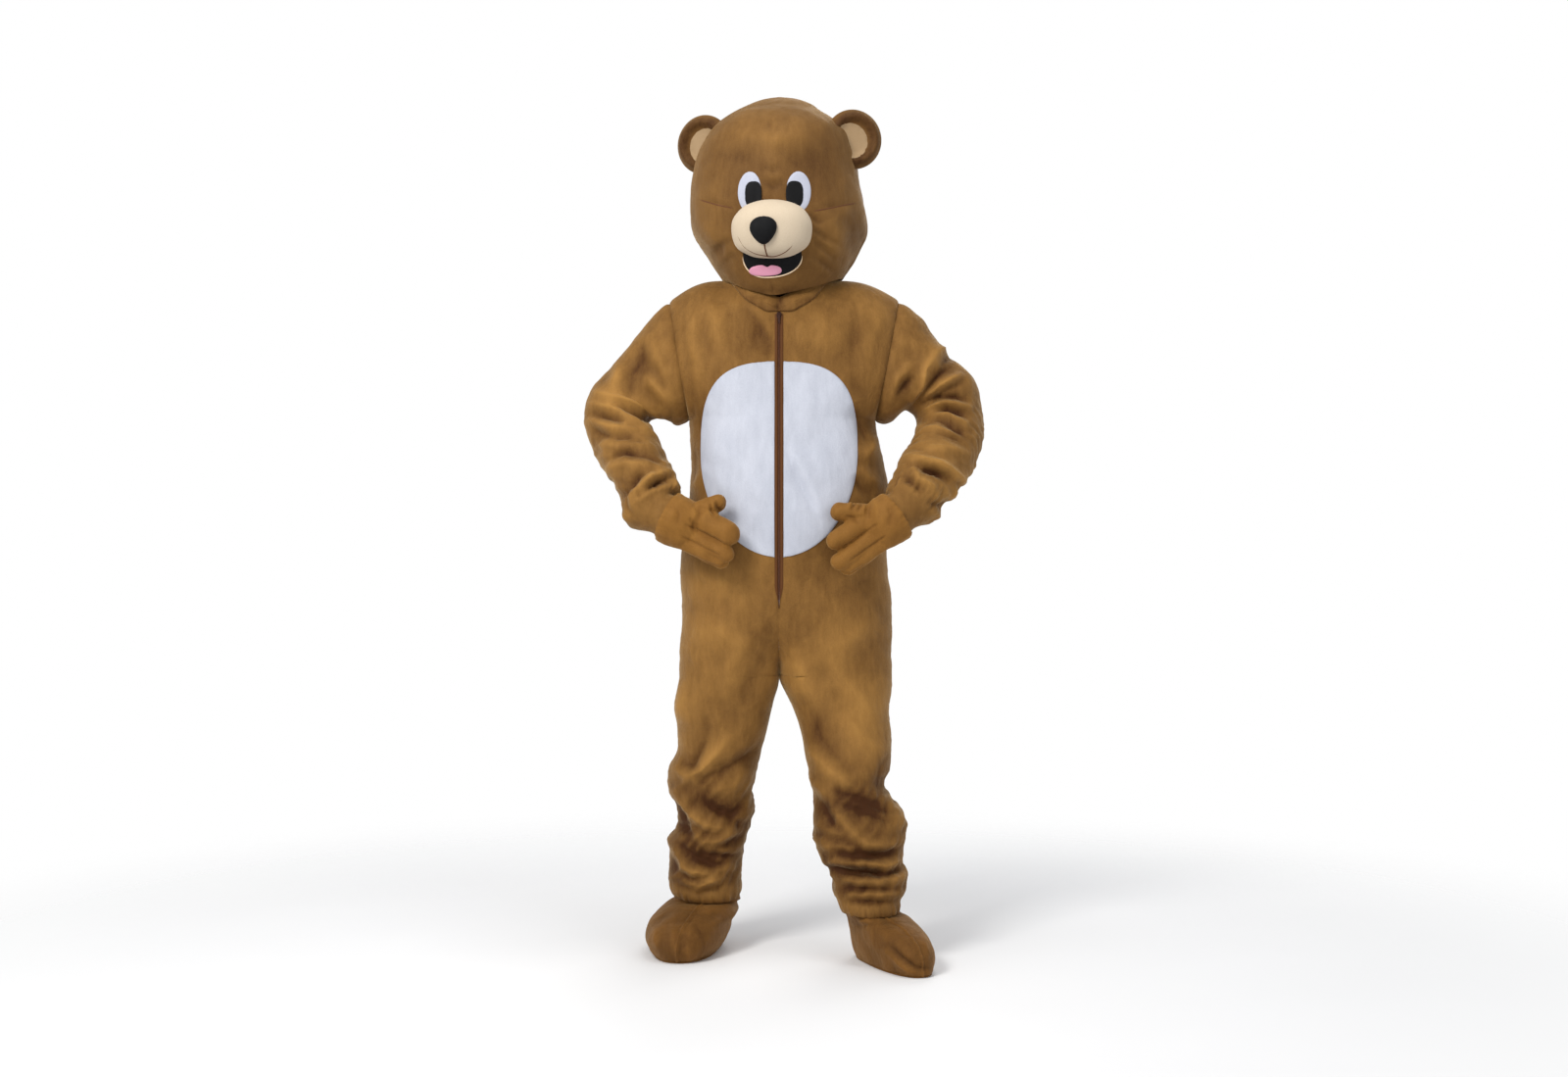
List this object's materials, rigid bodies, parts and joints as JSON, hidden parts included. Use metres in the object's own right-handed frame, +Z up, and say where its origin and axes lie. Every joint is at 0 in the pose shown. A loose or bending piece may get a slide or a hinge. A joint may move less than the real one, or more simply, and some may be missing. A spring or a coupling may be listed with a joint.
{
  "type": "bear mascot costume",
  "caption": "Worn plush bear costume with no wearer: a front-zipped jumpsuit with a pale belly patch, a big round head with ears and open mouth, padded gloves and foot covers, all hollow cloth.",
  "frame": {"origin": "inside the neck, midway between the points where the wearer's shoulders carry the suit, 1.42 m above the soles", "axes": "+Z up, the costume faces -Y, its left-hand side lies at +X"},
  "size_m": [0.8656, 0.4806, 1.8516],
  "materials": {
    "brown_plush": "short-pile plush",
    "dark_brown_plush": "short-pile plush",
    "white_plush": "short-pile plush",
    "cream_fleece": "brushed fleece",
    "beige_plush": "short-pile plush",
    "black_felt": "felt",
    "pink_felt": "felt",
    "zip_brown": "woven tape and moulded chain",
    "zip_lacquer": "lacquered"
  },
  "bodies": {
    "costume": {"suit_front_right": "brown_plush", "suit_front_left": "brown_plush", "suit_back_right": "brown_plush", "suit_back_left": "brown_plush", "belly_right": "white_plush", "belly_left": "white_plush", "zip": "zip_brown", "zip_slider": "zip_lacquer", "collar": "brown_plush", "sleeve_right": "brown_plush", "sleeve_left": "brown_plush", "head_front": "brown_plush", "head_back_left": "brown_plush", "head_back_right": "brown_plush", "muzzle": "cream_fleece", "nose": "black_felt", "eye_right": "white_plush", "eye_left": "white_plush", "pupil_right": "black_felt", "pupil_left": "black_felt", "mouth": "black_felt", "tongue": "pink_felt", "ear_right": "brown_plush", "ear_left": "brown_plush", "ear_inner_right": "beige_plush", "ear_inner_left": "beige_plush", "glove_right_back": "brown_plush", "glove_right_palm": "brown_plush", "glove_left_back": "brown_plush", "glove_left_palm": "brown_plush", "foot_right_left": "dark_brown_plush", "foot_right_right": "dark_brown_plush", "foot_left_left": "dark_brown_plush", "foot_left_right": "dark_brown_plush", "sole_right": "dark_brown_plush", "sole_left": "dark_brown_plush"},
    "pull_tab": {"zip_pull": "zip_lacquer"}
  },
  "joints": [
    {"name": "pull_tab_swing", "type": "hinge", "parent": "costume", "child": "pull_tab", "pos_m": [0, -0.11678, -0.05204], "axis": [-1, 0, 0], "range_deg": [0, 170]}
  ]
}
